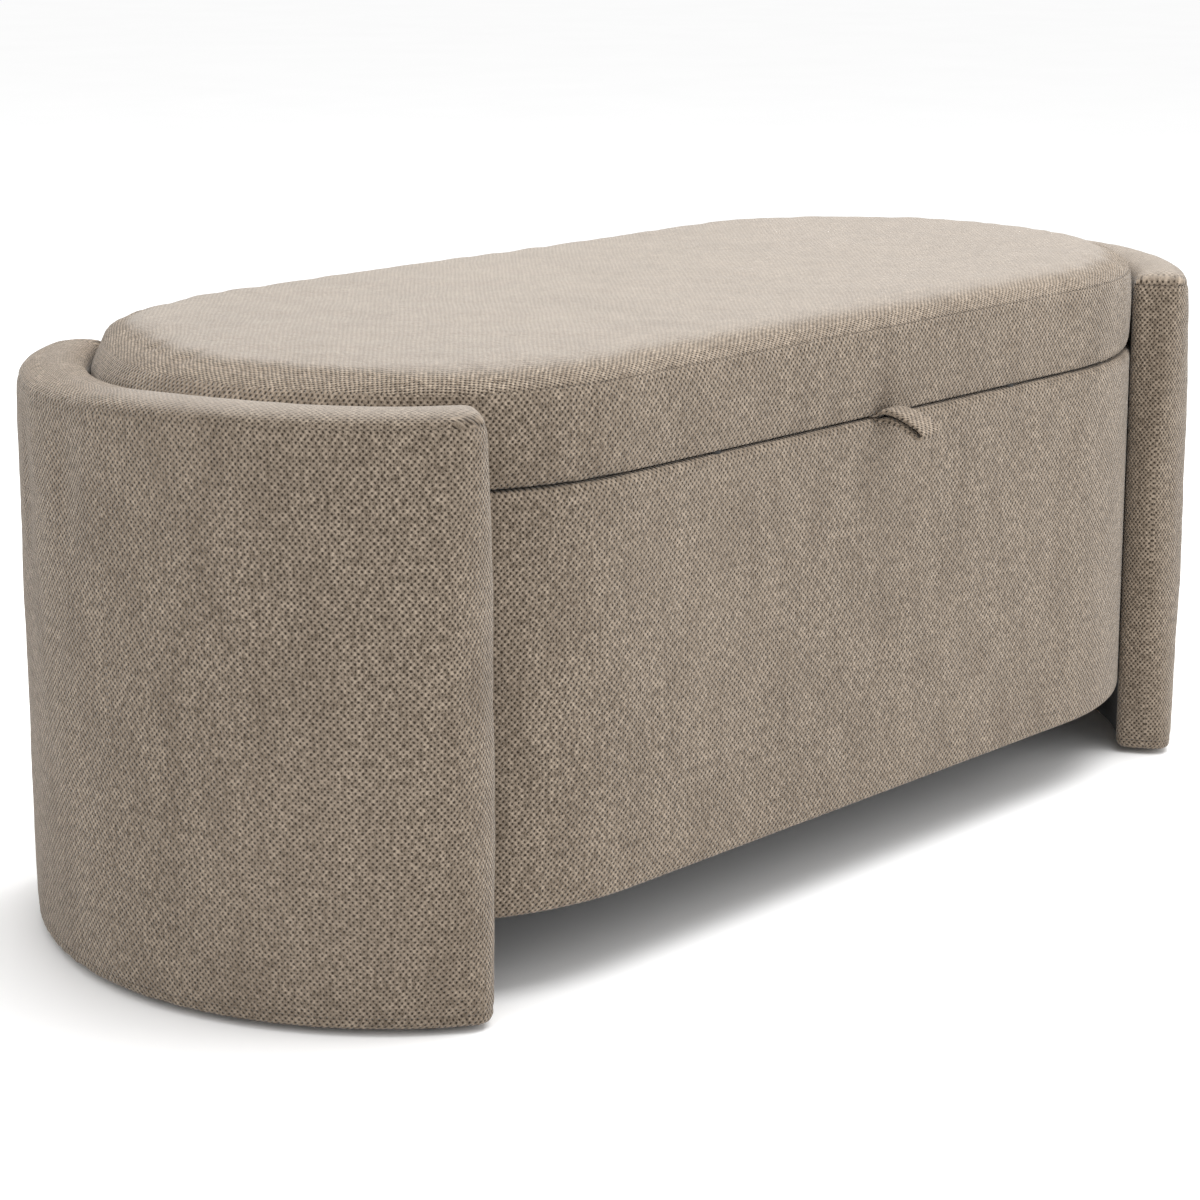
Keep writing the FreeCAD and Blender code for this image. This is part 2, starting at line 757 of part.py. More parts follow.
os.makedirs("parts", exist_ok=True)
for thing in nodes:
    thing.Shape.exportStep(f"parts/{thing.Label}.step")
    print(thing.Label, len(thing.Shape.Solids), round(thing.Shape.Volume))
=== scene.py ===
"""Looks of the oval storage bench: soft pieces, materials, floor, light and camera round the CAD frame."""

import json
import math

import bmesh
import bpy
import numpy as np
from mathutils import Matrix, Vector


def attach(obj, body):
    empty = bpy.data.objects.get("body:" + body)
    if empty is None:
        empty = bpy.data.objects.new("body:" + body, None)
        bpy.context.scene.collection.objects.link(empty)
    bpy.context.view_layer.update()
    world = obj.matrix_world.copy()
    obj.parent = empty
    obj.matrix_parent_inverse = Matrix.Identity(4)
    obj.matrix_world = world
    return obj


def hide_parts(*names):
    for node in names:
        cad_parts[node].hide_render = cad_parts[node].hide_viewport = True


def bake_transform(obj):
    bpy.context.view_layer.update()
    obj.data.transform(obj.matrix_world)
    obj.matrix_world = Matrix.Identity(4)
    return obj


bpy.ops.wm.read_factory_settings(use_empty=True)
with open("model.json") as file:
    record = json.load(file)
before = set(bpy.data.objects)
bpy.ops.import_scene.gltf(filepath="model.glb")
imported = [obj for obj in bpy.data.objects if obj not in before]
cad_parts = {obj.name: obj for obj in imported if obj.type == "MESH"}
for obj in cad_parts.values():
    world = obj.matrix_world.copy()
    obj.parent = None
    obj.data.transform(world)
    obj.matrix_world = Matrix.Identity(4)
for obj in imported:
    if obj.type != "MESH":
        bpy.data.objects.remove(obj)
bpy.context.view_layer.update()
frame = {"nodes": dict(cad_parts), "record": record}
nodes = frame["nodes"]

# Plan of the bench, in metres: two half circles of radius R about (-C, 0) and (C, 0).
C = 0.275
R = 0.235
PANEL_IN = R + 0.003
PANEL_OUT = PANEL_IN + 0.046
PANEL_REACH = math.radians(59.5)
BOX_LOW, BOX_TOP = 0.061, 0.366
LID_LOW, LID_TOP = 0.369, 0.450
LID_SEAM = 0.4355
PANEL_LOW, PANEL_TOP = 0.004, 0.435
PANEL_SEAM = 0.4225
PANEL_HEM = 0.013
STITCH = 0.0042  # length of a stitch in the lid's seam


# ---------------------------------------------------------------- materials

class Nodes:
    """A short way to write a node material."""

    def __init__(self, name):
        self.mat = bpy.data.materials.new(name)
        self.mat.use_nodes = True
        self.tree = self.mat.node_tree
        self.tree.nodes.clear()
        self.out = self.add("ShaderNodeOutputMaterial")
        self.bsdf = self.add("ShaderNodeBsdfPrincipled")
        self.link(self.bsdf.outputs[0], self.out.inputs["Surface"])
        self.coord = self.add("ShaderNodeTexCoord").outputs["Object"]

    def add(self, kind, **settings):
        node = self.tree.nodes.new(kind)
        for key, value in settings.items():
            setattr(node, key, value)
        return node

    def link(self, a, b):
        self.tree.links.new(a, b)

    def put(self, socket, value):
        if isinstance(value, bpy.types.NodeSocket):
            self.link(value, socket)
        else:
            socket.default_value = value

    def math(self, operation, a, b=0.0, c=0.0):
        node = self.add("ShaderNodeMath", operation=operation)
        for socket, value in zip(node.inputs, (a, b, c)):
            self.put(socket, value)
        return node.outputs[0]

    def split(self, vector):
        node = self.add("ShaderNodeSeparateXYZ")
        self.link(vector, node.inputs[0])
        return node.outputs

    def join(self, x, y, z):
        node = self.add("ShaderNodeCombineXYZ")
        for socket, value in zip(node.inputs, (x, y, z)):
            self.put(socket, value)
        return node.outputs[0]

    def noise(self, scale, detail=2.0, roughness=0.5, vector=None, stretch=None):
        node = self.add("ShaderNodeTexNoise")
        source = self.coord if vector is None else vector
        if stretch is not None:
            mapping = self.add("ShaderNodeMapping")
            self.link(source, mapping.inputs["Vector"])
            mapping.inputs["Scale"].default_value = stretch
            source = mapping.outputs[0]
        self.link(source, node.inputs["Vector"])
        node.inputs["Scale"].default_value = scale
        node.inputs["Detail"].default_value = detail
        node.inputs["Roughness"].default_value = roughness
        return node.outputs["Fac"]

    def range(self, value, low, high, to_low=0.0, to_high=1.0, smooth=False):
        node = self.add("ShaderNodeMapRange")
        if smooth:
            node.interpolation_type = "SMOOTHSTEP"
        for socket, number in zip(node.inputs, (value, low, high, to_low, to_high)):
            self.put(socket, number)
        return node.outputs[0]

    def mix(self, factor, a, b):
        node = self.add("ShaderNodeMix", data_type="RGBA")
        self.put(node.inputs["Factor"], factor)
        for key, value in (("A", a), ("B", b)):
            socket = [s for s in node.inputs if s.name == key and s.type == "RGBA"][0]
            self.put(socket, (*value, 1.0) if isinstance(value, tuple) else value)
        return [s for s in node.outputs if s.type == "RGBA"][0]

    def bump(self, height, distance, strength=1.0, normal=None):
        node = self.add("ShaderNodeBump")
        self.link(height, node.inputs["Height"])
        node.inputs["Distance"].default_value = distance
        node.inputs["Strength"].default_value = strength
        if normal is not None:
            self.link(normal, node.inputs["Normal"])
        return node.outputs[0]

    def finish(self, colour, roughness, normal=None, **uniform):
        self.put(self.bsdf.inputs["Base Color"], (*colour, 1.0) if isinstance(colour, tuple) else colour)
        self.put(self.bsdf.inputs["Roughness"], roughness)
        if normal is not None:
            self.link(normal, self.bsdf.inputs["Normal"])
        for key, value in uniform.items():
            self.bsdf.inputs[key.replace("_", " ")].default_value = value
        return self.mat


def oval_coords(n, radius):
    """Coordinates in the bench's plan.

    x, y and z, distance from the middle line, -1 or 1 by side, 1 at the rear, and length along the outline.
    """
    x, y, z = n.split(n.coord)
    cx = n.math("MINIMUM", n.math("MAXIMUM", x, -C), C)
    dx = n.math("SUBTRACT", x, cx)
    rho = n.math("SQRT", n.math("ADD", n.math("MULTIPLY", dx, dx), n.math("MULTIPLY", y, y)))
    side = n.math("SIGN", x)
    turn = n.math("ABSOLUTE", n.math("ARCTAN2", dx, n.math("MULTIPLY", y, -1.0)))
    rear = n.math("GREATER_THAN", y, 0.0)
    back_run = n.math("SUBTRACT", n.math("MULTIPLY", side, 2 * C), cx)
    front_run = n.math("MULTIPLY", n.math("SUBTRACT", 1.0, rear), cx)
    run = n.math("ADD", n.math("MULTIPLY", rear, back_run), front_run)
    along = n.math("MULTIPLY_ADD", n.math("MULTIPLY", turn, side), radius, run)
    return x, y, z, rho, side, rear, along


def choose(n, test, a, b):
    """a where the test is 1, b where it is 0."""
    return n.math("ADD", n.math("MULTIPLY", a, test), n.math("MULTIPLY", b, n.math("SUBTRACT", 1.0, test)))


def seam_line(n, distance, width):
    """1 on a seam, falling to 0 at its width."""
    return n.range(n.math("ABSOLUTE", distance), 0.0, width, 1.0, 0.0, smooth=True)


PITCH = 0.0045  # between pits along a row
ROW = 0.00236  # between rows, each shifted by half a pitch
PIT_WIDTH, PIT_HEIGHT = 0.00085, 0.00105  # half sizes of a pit
DRIFT = 0.0036  # how far the rows wander
JITTER = 0.0013  # how far single pits do
YARN_DARK, YARN_LIGHT = (0.110, 0.084, 0.060), (0.400, 0.325, 0.252)
FIBRE_LIGHT = (0.47, 0.39, 0.31)
NAP_DARK = (0.125, 0.095, 0.069)
PATCH_LIGHT = (0.30, 0.243, 0.188)
# Painted shade: the colour inside the pits.
PIT_SHADE = (0.022, 0.015, 0.010)
# Painted sheen: the pale neutral tone that the flat top is lightened towards.
TOP_SHEEN = (0.37, 0.345, 0.320)
# Painted shade in the grooves of the seams and hems.
SEAM_DARK = (0.060, 0.045, 0.034)


def woven(n, u, v, flat=None, seams=None, seam_shade=0.3):
    """Chunky chenille over length u and height v: staggered pits between soft yarns, with painted shade in
    and round the pits.

    Where flat is 1, over the stretched top, the pits and beads are fainter and the colour is lightened
    towards a pale neutral tone: painted sheen.
    """
    drift = n.noise(24.0, 2.0, 0.6)
    drift2 = n.noise(27.0, 2.0, 0.6, stretch=(1.0, 1.3, 0.8))
    jitter = n.noise(230.0, 1.0, 0.5)
    u = n.math("ADD", u, n.math("MULTIPLY_ADD", drift, DRIFT, -DRIFT / 2))
    u = n.math("ADD", u, n.math("MULTIPLY_ADD", jitter, JITTER, -JITTER / 2))
    v = n.math("ADD", v, n.math("MULTIPLY_ADD", drift2, DRIFT, -DRIFT / 2))
    column = n.math("DIVIDE", u, PITCH)
    row = n.math("DIVIDE", v, ROW)
    shift = n.math("MULTIPLY", n.math("FLOORED_MODULO", n.math("FLOOR", row), 2.0), 0.5)
    fu = n.math("SUBTRACT", n.math("FRACT", n.math("ADD", column, shift)), 0.5)
    fv = n.math("SUBTRACT", n.math("FRACT", row), 0.5)
    du = n.math("MULTIPLY", fu, PITCH / PIT_WIDTH)
    dv = n.math("MULTIPLY", fv, ROW / PIT_HEIGHT)
    gap = n.math("SQRT", n.math("ADD", n.math("MULTIPLY", du, du), n.math("MULTIPLY", dv, dv)))
    open_size = n.range(n.noise(260.0, 2.0, 0.6), 0.3, 0.7, 0.65, 1.25)
    pit = n.range(n.math("DIVIDE", gap, open_size), 0.35, 1.15, 1.0, 0.0, smooth=True)
    bead = n.range(gap, 0.9, 2.4, 0.0, 1.0, smooth=True)
    # Over the stretched top the pits and beads fade, partly because the cloth is stretched there and partly
    # as painted sheen washing them out.
    if flat is not None:
        pit = n.math("MULTIPLY", pit, n.math("MULTIPLY_ADD", flat, -0.72, 1.0))
        bead = n.math("MULTIPLY", bead, n.math("MULTIPLY_ADD", flat, -0.6, 1.0))

    fibre = n.noise(1100.0, 3.0, 0.65)
    slub = n.noise(300.0, 2.0, 0.6, vector=n.join(u, n.math("MULTIPLY", v, 0.5), 0.0))
    height = n.math("MULTIPLY_ADD", bead, 0.5, n.math("SUBTRACT", 1.0, pit))
    height = n.math("MULTIPLY_ADD", slub, 0.5, height)
    height = n.math("MULTIPLY_ADD", fibre, 0.35, height)

    patch = n.noise(8.0, 3.0, 0.55, stretch=(1.0, 1.0, 0.6))
    nap = n.noise(42.0, 3.0, 0.6, stretch=(1.0, 1.0, 0.35))
    # The yarn is lighter on the slubs, which is real tone, and darker towards the pits, which is painted
    # shade round the holes.
    light = n.math("MULTIPLY", n.range(slub, 0.34, 0.66), n.math("MULTIPLY_ADD", bead, 0.65, 0.35))
    colour = n.mix(light, YARN_DARK, YARN_LIGHT)
    colour = n.mix(n.range(fibre, 0.42, 0.72, 0.0, 0.5), colour, FIBRE_LIGHT)
    colour = n.mix(n.range(nap, 0.38, 0.70, 0.0, 0.42), colour, NAP_DARK)
    colour = n.mix(n.range(patch, 0.38, 0.68, 0.0, 0.20), colour, PATCH_LIGHT)
    # Painted shade: the pits are coloured nearly black.
    colour = n.mix(n.math("MULTIPLY", pit, 0.9), colour, PIT_SHADE)
    # Painted sheen: the flat top is lightened towards a pale neutral tone.
    if flat is not None:
        colour = n.mix(n.math("MULTIPLY", flat, 0.36), colour, TOP_SHEEN)
    normal = n.bump(height, 0.0010, 0.85)
    # The seams and hems are darkened with painted shade in their grooves, and dented by a bump.
    if seams is not None:
        colour = n.mix(n.math("MULTIPLY", seams, seam_shade), colour, SEAM_DARK)
        normal = n.bump(n.math("SUBTRACT", 1.0, seams), 0.0010, 0.6, normal)
    return colour, normal


def lid_cloth(n, coords, wobble):
    """Above the seam the cloth is laid straight over the top, its drop at the edge rolled out flat."""
    x, y, z, rho, _, _, along = coords
    above = n.math("GREATER_THAN", z, LID_SEAM)
    drop = n.math("DIVIDE", n.math("SUBTRACT", LID_TOP, z), n.math("MAXIMUM", rho, 0.05))
    cx = n.math("MINIMUM", n.math("MAXIMUM", x, -C), C)
    top_u = n.math("MULTIPLY_ADD", n.math("SUBTRACT", x, cx), drop, x)
    top_v = n.math("MULTIPLY_ADD", y, drop, y)
    u, v = choose(n, above, top_u, along), choose(n, above, top_v, z)
    # flat marks the top, where woven() fades the pits and lightens the colour with painted sheen.
    flat = n.range(z, LID_SEAM + 0.0085, LID_TOP - 0.0005, smooth=True)
    from_seam = n.math("SUBTRACT", z, n.math("MULTIPLY_ADD", wobble, 0.7, LID_SEAM))
    # The painted shade of the seam comes and goes with its stitches.
    stitches = n.math("SINE", n.math("MULTIPLY", along, math.tau / STITCH))
    seams = n.math("MULTIPLY", seam_line(n, from_seam, 0.0012), n.range(stitches, -0.2, 0.5, 0.45, 1.0))
    # The seam fades out towards the drawn-in left end.
    seams = n.math("MULTIPLY", seams, n.range(x, -0.43, -0.35))
    return u, v, flat, seams


def panel_cloth(n, coords, wobble):
    """Above the seam the cloth follows the top, rolled out flat over the outer, inner and end edges."""
    x, y, z, rho, side, rear, along = coords
    above = n.math("GREATER_THAN", z, PANEL_SEAM)
    way = n.math("MULTIPLY", side, n.math("MULTIPLY_ADD", rear, 2.0, -1.0))
    bend = n.math("ARCTAN2", y, n.math("SUBTRACT", n.math("ABSOLUTE", x), C))
    turned = n.math("ABSOLUTE", bend)
    from_end = n.math("MULTIPLY", n.math("SUBTRACT", PANEL_REACH, turned), 2 * PANEL_OUT)
    inside = n.math("LESS_THAN", rho, 0.5 * (PANEL_IN + PANEL_OUT))
    inward = n.math("MULTIPLY_ADD", from_end, inside, n.math("SUBTRACT", PANEL_OUT, rho))
    round_end = n.math("MULTIPLY_ADD", inward, way, along)
    fall = n.math("SUBTRACT", PANEL_TOP, z)
    outer = n.range(rho, PANEL_IN + 0.018, PANEL_OUT - 0.018, -1.0, 1.0)
    near_end = n.range(turned, PANEL_REACH - 0.10, PANEL_REACH - 0.05)
    sideways = n.math("MULTIPLY", outer, n.math("SUBTRACT", 1.0, near_end))
    top_v = n.math("MULTIPLY_ADD", fall, sideways, rho)
    endways = n.math("MULTIPLY", n.math("MULTIPLY", fall, way), near_end)
    top_u = n.math("SUBTRACT", along, endways)
    u, v = choose(n, above, top_u, round_end), choose(n, above, top_v, z)
    # flat marks the top, where woven() fades the pits and lightens the colour with painted sheen.
    flat = n.range(z, PANEL_SEAM + 0.003, PANEL_TOP - 0.001, 0.0, 0.8, smooth=True)
    small_wobble = n.math("MULTIPLY", wobble, 0.5)
    from_seam = n.math("SUBTRACT", z, n.math("ADD", small_wobble, PANEL_SEAM))
    from_hem = n.math("SUBTRACT", z, n.math("ADD", small_wobble, PANEL_HEM))
    ends = n.range(turned, PANEL_REACH - 0.035, PANEL_REACH - 0.015, 0.25, 1.0)
    seams = n.math("MULTIPLY", seam_line(n, from_seam, 0.0013), ends)
    seams = n.math("MAXIMUM", seams, n.math("MULTIPLY", seam_line(n, from_hem, 0.0011), 0.5))
    return u, v, flat, seams


def tab_cloth(n, coords):
    """The strip droops outwards, so its length runs along -y and -z together."""
    x, y, z = coords[:3]
    u = n.math("MULTIPLY_ADD", z, 0.5, x)
    v = n.math("MULTIPLY", n.math("ADD", y, z), -0.85)
    return u, v


def upholstery(kind):
    n = Nodes("chenille_" + kind)
    coords = oval_coords(n, PANEL_OUT if kind == "panel" else R)
    wobble = n.math("MULTIPLY_ADD", n.noise(18.0, 2.0, 0.5), 0.003, -0.0015)
    flat, seams = None, None
    if kind == "lid":
        u, v, flat, seams = lid_cloth(n, coords, wobble)
    elif kind == "panel":
        u, v, flat, seams = panel_cloth(n, coords, wobble)
    elif kind == "tab":
        u, v = tab_cloth(n, coords)
    else:
        u, v = coords[6], coords[2]
    colour, normal = woven(n, u, v, flat, seams, 0.5 if kind == "panel" else 0.3)
    return n.finish(
        colour,
        0.93,
        normal,
        Sheen_Weight=0.30,
        Sheen_Roughness=0.32,
        Sheen_Tint=(1.0, 0.98, 0.95, 1.0),
        Specular_IOR_Level=0.1,
    )


def plain_weave(name, dark, light, pitch=0.0011, depth=0.00025, rough=0.9):
    """A thin plain weave, for linings."""
    n = Nodes(name)
    x, y, z, _, _, _, along = oval_coords(n, R)
    normal_z = n.split(n.add("ShaderNodeTexCoord").outputs["Normal"])[2]
    flat = n.math("GREATER_THAN", n.math("ABSOLUTE", normal_z), 0.6)
    u, v = choose(n, flat, x, along), choose(n, flat, y, z)
    warp = n.math("SINE", n.math("MULTIPLY", u, math.tau / pitch))
    weft = n.math("SINE", n.math("MULTIPLY", v, math.tau / pitch))
    thread = n.math("MULTIPLY", warp, weft)
    fuzz = n.noise(600.0, 3.0, 0.6)
    height = n.math("MULTIPLY_ADD", thread, 0.5, fuzz)
    patch = n.noise(9.0, 3.0, 0.5)
    tone = n.math("MULTIPLY_ADD", patch, 0.6, n.math("MULTIPLY", height, 0.5))
    colour = n.mix(n.range(tone, 0.1, 0.8), dark, light)
    return n.finish(colour, rough, n.bump(height, depth, 0.8), Specular_IOR_Level=0.15, Sheen_Weight=0.1)


def felt(name, dark, light):
    """Non-woven cloth: short fibres pressed flat, with a faint dimple pattern."""
    n = Nodes(name)
    fibres = n.noise(420.0, 5.0, 0.75)
    long_fibres = n.noise(150.0, 3.0, 0.7, stretch=(1.0, 1.0, 3.0))
    cells = n.add("ShaderNodeTexVoronoi")
    n.link(n.coord, cells.inputs["Vector"])
    cells.inputs["Scale"].default_value = 380.0
    both = n.math("ADD", fibres, long_fibres)
    height = n.math("MULTIPLY_ADD", cells.outputs["Distance"], 0.6, both)
    colour = n.mix(n.range(n.math("MULTIPLY", both, 0.5), 0.35, 0.65), dark, light)
    return n.finish(colour, 0.95, n.bump(height, 0.0004, 0.8), Specular_IOR_Level=0.1, Sheen_Weight=0.15)


def timber(name, dark, light, stretch, rough=0.6):
    """Wood with growth rings drawn out along the grain, and dark pores."""
    n = Nodes(name)
    bend = n.noise(6.0, 3.0, 0.6, stretch=stretch)
    rings = n.add("ShaderNodeTexWave", wave_type="BANDS", bands_direction="Z")
    mapping = n.add("ShaderNodeMapping")
    n.link(n.coord, mapping.inputs["Vector"])
    mapping.inputs["Scale"].default_value = stretch
    n.link(mapping.outputs[0], rings.inputs["Vector"])
    rings.inputs["Scale"].default_value = 9.0
    rings.inputs["Distortion"].default_value = 6.0
    rings.inputs["Detail"].default_value = 3.0
    pores = n.noise(260.0, 2.0, 0.5, stretch=stretch)
    tone = n.math("MULTIPLY_ADD", rings.outputs["Fac"], 0.5, n.math("MULTIPLY", bend, 0.6))
    colour = n.mix(n.range(tone, 0.2, 0.9), dark, light)
    colour = n.mix(n.range(pores, 0.58, 0.75, 0.0, 0.5), colour, tuple(0.45 * c for c in dark))
    return n.finish(colour, n.range(pores, 0.3, 0.7, rough - 0.08, rough + 0.12), n.bump(pores, 0.0003, 0.5))


def metal(name, colour, rough, metallic, scratch=220.0):
    """Finely brushed or powder-coated metal with duller marks."""
    n = Nodes(name)
    brushed = n.noise(scratch, 3.0, 0.6, stretch=(1.0, 1.0, 12.0))
    marks = n.noise(35.0, 4.0, 0.65)
    shade = n.mix(n.range(marks, 0.35, 0.7, 0.0, 0.35), colour, tuple(0.55 * c for c in colour))
    dullness = n.range(brushed, 0.3, 0.7, rough - 0.06, rough + 0.1)
    return n.finish(shade, dullness, n.bump(brushed, 0.00008, 0.5), Metallic=metallic)


def moulded(name, colour, rough):
    """Finely grained rubber or plastic with a little dust."""
    n = Nodes(name)
    grain = n.noise(520.0, 3.0, 0.6)
    dust = n.noise(40.0, 3.0, 0.6)
    shade = n.mix(n.range(dust, 0.45, 0.75, 0.0, 0.3), colour, tuple(2.2 * c + 0.01 for c in colour))
    return n.finish(shade, n.range(grain, 0.3, 0.7, rough - 0.07, rough + 0.07), n.bump(grain, 0.0001, 0.6))


def foam_material():
    """Pale open-cell foam, yellowed in places."""
    n = Nodes("open_cell_foam")
    cells = n.add("ShaderNodeTexVoronoi")
    n.link(n.coord, cells.inputs["Vector"])
    cells.inputs["Scale"].default_value = 700.0
    aged = n.noise(8.0, 3.0, 0.5)
    colour = n.mix(aged, (0.78, 0.72, 0.50), (0.86, 0.83, 0.68))
    return n.finish(colour, 0.95, n.bump(cells.outputs["Distance"], 0.0006, 0.8))


CHENILLE = {kind: upholstery(kind) for kind in ("lid", "box", "panel", "tab")}
LINING = plain_weave("lining_weave", (0.26, 0.21, 0.165), (0.40, 0.335, 0.275))
FELT = felt("black_non_woven", (0.010, 0.009, 0.008), (0.034, 0.030, 0.026))
SLOTS = {
    "upholstery": CHENILLE["box"],
    "lining": LINING,
    "black_felt": FELT,
    "foam": foam_material(),
    "plywood": timber("birch_plywood", (0.46, 0.30, 0.16), (0.68, 0.50, 0.31), (0.6, 3.0, 3.0)),
    "softwood": timber("pine", (0.50, 0.32, 0.16), (0.74, 0.55, 0.33), (3.0, 3.0, 0.5)),
    "steel": metal("zinc_steel", (0.50, 0.50, 0.51), 0.34, 1.0),
    "black_steel": metal("black_powder_coat", (0.022, 0.021, 0.020), 0.42, 0.2, 400.0),
    "rubber": moulded("black_rubber", (0.018, 0.017, 0.016), 0.75),
    "plastic": moulded("black_plastic", (0.022, 0.021, 0.020), 0.5),
}
for part in frame["record"]["subparts"]:
    mesh = nodes[part["node"]].data
    mesh.materials.clear()
    mesh.materials.append(SLOTS[part["material_slot"]])


# ---------------------------------------------------------------- outlines

def oval_ring(inset, ends=72, runs=44):
    """Points of the bench's plan, moved inwards, anticlockwise from the front left of the straight run."""
    r = R - inset
    points = []
    for i in range(runs):
        points.append((-C + 2 * C * i / runs, -r))
    for i in range(ends):
        a = -math.pi / 2 + math.pi * i / ends
        points.append((C + r * math.cos(a), r * math.sin(a)))
    for i in range(runs):
        points.append((C - 2 * C * i / runs, r))
    for i in range(ends):
        a = math.pi / 2 + math.pi * i / ends
        points.append((-C + r * math.cos(a), r * math.sin(a)))
    return np.array(points)


def panel_ring(inset, mirror, outer_corner=0.016, inner_corner=0.0045, outer=84, inner=84, end=6, turn=7):
    """Plan of one end panel, moved inwards: an arc strip with round corners, anticlockwise."""
    low, high = PANEL_IN + inset, PANEL_OUT - inset
    width = high - low
    big = min(max(outer_corner - inset, 0.0004), 0.55 * width)
    small = min(max(inner_corner - inset, 0.0004), 0.35 * width)
    points = []

    def arc(radius, start, stop, count):
        for i in range(count):
            a = start + (stop - start) * i / count
            points.append((radius * math.cos(a), radius * math.sin(a)))

    def corner(radius, angle, r, start):
        middle = (radius * math.cos(angle), radius * math.sin(angle))
        for i in range(turn):
            a = start + math.pi / 2 * i / turn
            points.append((middle[0] + r * math.cos(a), middle[1] + r * math.sin(a)))

    def run(a, b):
        for i in range(end):
            t = i / end
            points.append((a[0] + (b[0] - a[0]) * t, a[1] + (b[1] - a[1]) * t))

    def beside(radius, angle, r):
        """The point at a radius and angle, moved by r along the tangent."""
        return (
            radius * math.cos(angle) - r * math.sin(angle),
            radius * math.sin(angle) + r * math.cos(angle),
        )

    end_out = PANEL_REACH - (inset + big) / (high - big)
    end_in = PANEL_REACH - (inset + small) / (low + small)
    arc(high, -end_out, end_out, outer)
    corner(high - big, end_out, big, end_out)
    run(beside(high - big, end_out, big), beside(low + small, end_in, small))
    corner(low + small, end_in, small, end_in + math.pi / 2)
    arc(low, end_in, -end_in, inner)
    corner(low + small, -end_in, small, math.pi - end_in)
    run(beside(low + small, -end_in, -small), beside(high - big, -end_out, -big))
    corner(high - big, -end_out, big, -end_out - math.pi / 2)
    points = np.array(points)
    if mirror:
        points = -points
        points[:, 0] -= C
    else:
        points[:, 0] += C
    return points


def smooth_profile(points, step=0.005):
    """A profile of (inset, height) corners, cut into short steps."""
    out = [np.array(points[0], float)]
    for a, b in zip(points[:-1], points[1:]):
        a, b = np.array(a, float), np.array(b, float)
        count = max(1, int(round(np.linalg.norm(b - a) / step)))
        for i in range(1, count + 1):
            out.append(a + (b - a) * i / count)
    return out


def quarter(inset0, z0, inset1, z1, steps, outward_first):
    """A quarter round between two profile points."""
    points = []
    for i in range(1, steps + 1):
        a = math.pi / 2 * i / steps
        s, c = math.sin(a), 1 - math.cos(a)
        t_inset, t_z = (c, s) if outward_first else (s, c)
        points.append((inset0 + (inset1 - inset0) * t_inset, z0 + (z1 - z0) * t_z))
    return points


def new_object(name, verts, faces):
    mesh = bpy.data.meshes.new(name)
    mesh.from_pydata([tuple(v) for v in verts], [], faces)
    mesh.update()
    obj = bpy.data.objects.new(name, mesh)
    bpy.context.scene.collection.objects.link(obj)
    return obj


def face_outwards(obj):
    """Turns the normals of a closed mesh outwards."""
    work = bmesh.new()
    work.from_mesh(obj.data)
    bmesh.ops.recalc_face_normals(work, faces=work.faces)
    work.to_mesh(obj.data)
    work.free()


def loft(name, rings, closed_profile=False, cap_low=False, cap_high=False):
    """A mesh through rings of equal count, lowest first."""
    count = len(rings[0])
    verts = np.concatenate([np.array(r, float) for r in rings])
    faces = []
    spans = len(rings) if closed_profile else len(rings) - 1
    for k in range(spans):
        a, b = k * count, ((k + 1) % len(rings)) * count
        for i in range(count):
            j = (i + 1) % count
            faces.append((a + i, a + j, b + j, b + i))
    if cap_low:
        faces.append(tuple(range(count - 1, -1, -1)))
    if cap_high:
        top = (len(rings) - 1) * count
        faces.append(tuple(range(top, top + count)))
    return new_object(name, verts, faces)


def ring3(plan, z):
    return np.column_stack([plan, np.full(len(plan), z)])


def apply_modifiers(obj):
    bpy.context.view_layer.update()
    graph = bpy.context.evaluated_depsgraph_get()
    mesh = bpy.data.meshes.new_from_object(obj.evaluated_get(graph))
    old = obj.data
    obj.modifiers.clear()
    obj.data = mesh
    bpy.data.meshes.remove(old)


def co(obj):
    array = np.zeros(len(obj.data.vertices) * 3)
    obj.data.vertices.foreach_get("co", array)
    return array.reshape(-1, 3)


def set_co(obj, array):
    obj.data.vertices.foreach_set("co", np.asarray(array, float).ravel())
    obj.data.update()


def give_material(obj, material):
    for polygon in obj.data.polygons:
        polygon.use_smooth = True
    obj.data.materials.clear()
    obj.data.materials.append(material)


def upholster(obj, kind, body, fill, *stands_for):
    """Finishes a padded piece: its cloth, the solids that it stands for and the body that it rides on."""
    give_material(obj, CHENILLE[kind])
    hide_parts(*stands_for)
    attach(obj, body)


def wave(points, scale, seed, octaves=3):
    """Smooth, repeatable waviness from -1 to 1 made of sines in random directions."""
    rng = np.random.default_rng(seed)
    total = np.zeros(len(points))
    weight = 0.0
    for k in range(octaves):
        for _ in range(6):
            direction = rng.normal(size=3)
            direction /= np.linalg.norm(direction)
            phase = rng.uniform(0, math.tau)
            total += np.sin(points @ direction * math.tau / scale * 2**k + phase) / 2**k
        weight += 6 / 2**k
    return total / weight * 2.2


def vertex_normals(obj):
    array = np.zeros(len(obj.data.vertices) * 3)
    obj.data.vertices.foreach_get("normal", array)
    return array.reshape(-1, 3)


CLOTH_STIFFNESS = 15.0


